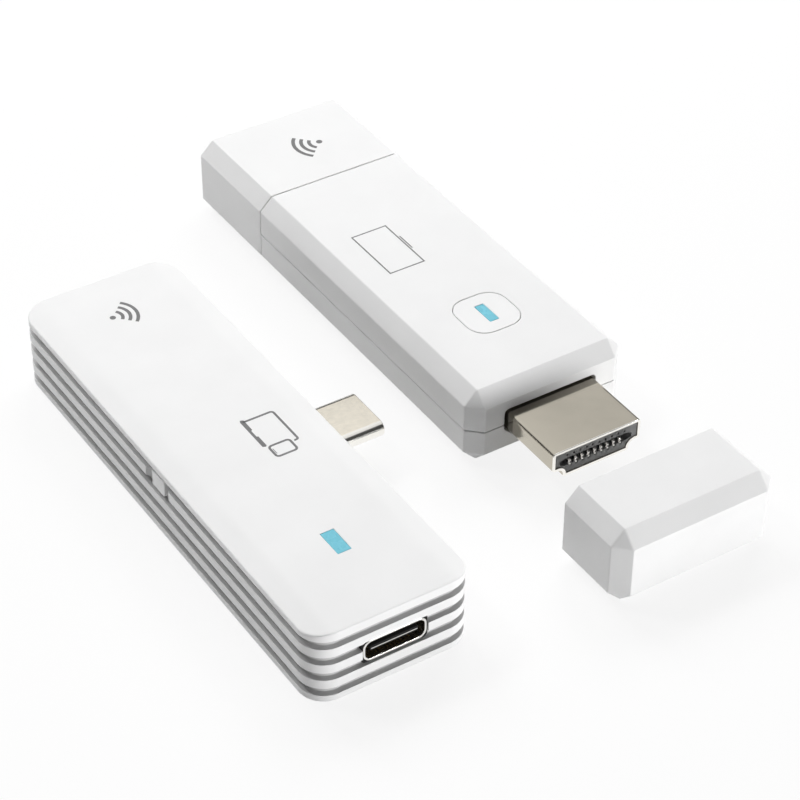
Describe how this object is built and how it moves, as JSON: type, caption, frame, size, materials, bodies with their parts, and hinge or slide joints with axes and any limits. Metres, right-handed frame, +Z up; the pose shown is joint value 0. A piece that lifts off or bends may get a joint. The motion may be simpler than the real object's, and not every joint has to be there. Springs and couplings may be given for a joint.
{
  "type": "wireless display adapter",
  "caption": "Wireless display adapter: bar-shaped receiver with a display plug and pull-off cap, and a ribbed transmitter with a round-ended side plug and a charge port.",
  "frame": {"origin": "middle of both units and the cap, on the surface they lie on", "axes": "+Z up, +Y along both units away from the display plug's mouth, +X from the transmitter to the receiver"},
  "size_m": [0.0646, 0.1052, 0.0115],
  "materials": {
    "receiver_shell_white": "satin white moulded plastic",
    "rear_cover_white": "satin white moulded plastic",
    "cap_white": "satin white moulded plastic",
    "button_white": "satin white moulded plastic",
    "transmitter_plate_white": "smooth white moulded plastic",
    "transmitter_housing_white": "satin white moulded plastic",
    "light_cyan": "cyan light window",
    "plug_nickel": "nickel-plated sheet steel",
    "socket_steel": "nickel-plated sheet steel",
    "insert_grey": "dark grey moulded plastic",
    "insert_black": "black moulded plastic",
    "contact_gold": "gold-plated contacts",
    "board_green": "glass-filled circuit board",
    "chip_black": "chip package",
    "can_tin": "tinned sheet steel",
    "spreader_aluminium": "bare aluminium sheet",
    "pad_grey": "soft thermal pad",
    "lamp_white": "lamp package",
    "antenna_ceramic": "ceramic antenna",
    "switch_black": "switch body",
    "plunger_black": "switch plunger"
  },
  "bodies": {
    "receiver": {"receiver_top_shell": "receiver_shell_white", "receiver_bottom_shell": "receiver_shell_white", "receiver_rear_cover": "rear_cover_white", "receiver_switch": "switch_black", "receiver_lamp": "lamp_white", "receiver_board": "board_green", "receiver_video_chip": "chip_black", "receiver_thermal_pad": "pad_grey", "receiver_heat_spreader": "spreader_aluminium", "receiver_radio_can": "can_tin", "receiver_radio_chip": "chip_black", "receiver_memory_chip": "chip_black", "receiver_crystal": "can_tin", "receiver_power_coils": "chip_black", "receiver_antennas": "antenna_ceramic", "display_plug_shell": "plug_nickel", "display_plug_insulator": "insert_grey", "display_plug_contacts": "contact_gold", "power_inlet_shell": "socket_steel", "power_inlet_tongue": "insert_black", "power_inlet_contacts": "contact_gold"},
    "receiver_button_body": {"receiver_button": "button_white", "receiver_light_window": "light_cyan", "receiver_switch_plunger": "plunger_black"},
    "cap": {"plug_cap": "cap_white"},
    "transmitter": {"transmitter_housing": "transmitter_housing_white", "transmitter_top_plate": "transmitter_plate_white", "transmitter_light_window": "light_cyan", "transmitter_lamp": "lamp_white", "transmitter_board": "board_green", "transmitter_encoder_chip": "chip_black", "transmitter_thermal_pad": "pad_grey", "transmitter_heat_spreader": "spreader_aluminium", "transmitter_radio_can": "can_tin", "transmitter_radio_chip": "chip_black", "transmitter_memory_chip": "chip_black", "transmitter_crystal": "can_tin", "transmitter_power_coils": "chip_black", "transmitter_antennas": "antenna_ceramic", "pair_switch": "switch_black", "side_plug_shell": "socket_steel", "side_plug_insert": "insert_black", "side_plug_contacts": "contact_gold", "charge_port_shell": "socket_steel", "charge_port_tongue": "insert_black", "charge_port_contacts": "contact_gold"},
    "pair_button_body": {"pair_button": "button_white", "pair_plunger": "plunger_black"}
  },
  "joints": [
    {"name": "receiver_button_press", "type": "slide", "parent": "receiver", "child": "receiver_button_body", "axis": [0, 0, -1], "range_m": [0, 0.0003], "stiffness_N_per_m": 3000},
    {"name": "cap_slide", "type": "slide", "parent": "receiver", "child": "cap", "axis": [0, 1, 0], "range_m": [0, 0.02015]},
    {"name": "transmitter_slide", "type": "slide", "parent": "receiver", "child": "transmitter", "axis": [-1, 0, 0], "range_m": [0, 0.1]},
    {"name": "pair_button_press", "type": "slide", "parent": "transmitter", "child": "pair_button_body", "axis": [1, 0, 0], "range_m": [0, 0.0003], "stiffness_N_per_m": 3000}
  ]
}
